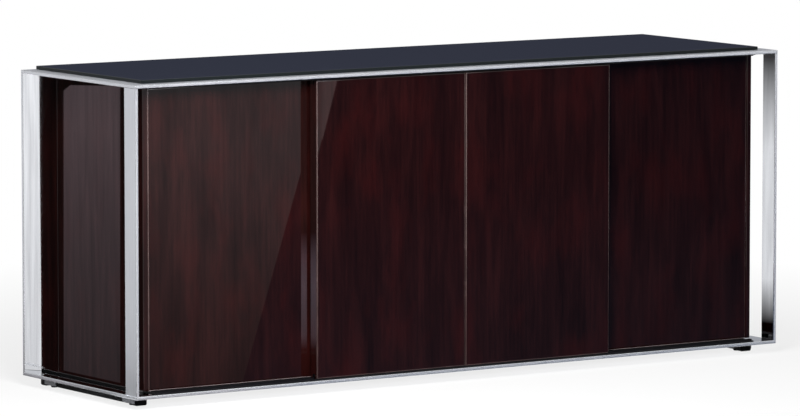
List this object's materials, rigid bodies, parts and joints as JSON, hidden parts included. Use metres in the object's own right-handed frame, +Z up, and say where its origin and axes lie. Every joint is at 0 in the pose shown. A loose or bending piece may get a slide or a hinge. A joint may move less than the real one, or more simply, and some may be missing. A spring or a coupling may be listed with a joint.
{
  "type": "office credenza",
  "caption": "Long low office credenza: polished flat-bar frame, dark glass top, and a glossy dark veneered cabinet with sliding doors in two lanes over shelved compartments.",
  "frame": {"origin": "centre of the footprint, on the floor", "axes": "+X along the length to the right as seen from the front, +Y from the doors to the back, +Z up"},
  "size_m": [1.8, 0.51, 0.742],
  "materials": {
    "polished_steel": "polished",
    "black_glass": "opaque black glass, polished",
    "gloss_veneer": "high gloss lacquer",
    "inner_board": "satin",
    "black_track": "black anodised",
    "black_runner": "black powder coat",
    "black_nylon": "matt"
  },
  "bodies": {
    "cabinet": {"front_bottom_rail": "polished_steel", "front_top_rail": "polished_steel", "front_left_post": "polished_steel", "front_right_post": "polished_steel", "rear_left_post": "polished_steel", "rear_right_post": "polished_steel", "rear_bottom_rail": "polished_steel", "rear_top_rail": "polished_steel", "left_bottom_plate": "polished_steel", "left_top_plate": "polished_steel", "left_front_bracket": "polished_steel", "left_rear_bracket": "polished_steel", "left_runner": "black_runner", "left_front_cap": "black_runner", "left_rear_cap": "black_runner", "left_front_glide": "black_nylon", "left_rear_glide": "black_nylon", "left_bottom_spacer": "black_nylon", "left_top_spacer": "black_nylon", "left_side_panel": "gloss_veneer", "left_shelf": "inner_board", "left_outer_cleat": "black_track", "left_inner_cleat": "black_track", "right_bottom_plate": "polished_steel", "right_top_plate": "polished_steel", "right_front_bracket": "polished_steel", "right_rear_bracket": "polished_steel", "right_runner": "black_runner", "right_front_cap": "black_runner", "right_rear_cap": "black_runner", "right_front_glide": "black_nylon", "right_rear_glide": "black_nylon", "right_bottom_spacer": "black_nylon", "right_top_spacer": "black_nylon", "right_side_panel": "gloss_veneer", "right_shelf": "inner_board", "right_outer_cleat": "black_track", "right_inner_cleat": "black_track", "glass_top": "black_glass", "body_bottom": "inner_board", "body_top": "inner_board", "back_panel": "inner_board", "centre_partition": "inner_board", "lower_track": "black_track", "upper_track": "black_track"},
    "left_inner_door": {"left_inner_door": "gloss_veneer", "left_inner_door_shoe": "black_nylon", "left_inner_door_guide": "black_nylon"},
    "left_outer_door": {"left_outer_door": "gloss_veneer", "left_outer_door_shoe": "black_nylon", "left_outer_door_guide": "black_nylon"},
    "right_inner_door": {"right_inner_door": "gloss_veneer", "right_inner_door_shoe": "black_nylon", "right_inner_door_guide": "black_nylon"},
    "right_outer_door": {"right_outer_door": "gloss_veneer", "right_outer_door_shoe": "black_nylon", "right_outer_door_guide": "black_nylon"}
  },
  "joints": [
    {"name": "left_inner_door_slide", "type": "slide", "parent": "cabinet", "child": "left_inner_door", "axis": [1, 0, 0], "range_m": [-0.424, 0]},
    {"name": "left_outer_door_slide", "type": "slide", "parent": "cabinet", "child": "left_outer_door", "axis": [1, 0, 0], "range_m": [0, 0.382]},
    {"name": "right_inner_door_slide", "type": "slide", "parent": "cabinet", "child": "right_inner_door", "axis": [1, 0, 0], "range_m": [0, 0.424]},
    {"name": "right_outer_door_slide", "type": "slide", "parent": "cabinet", "child": "right_outer_door", "axis": [1, 0, 0], "range_m": [-0.382, 0]}
  ]
}
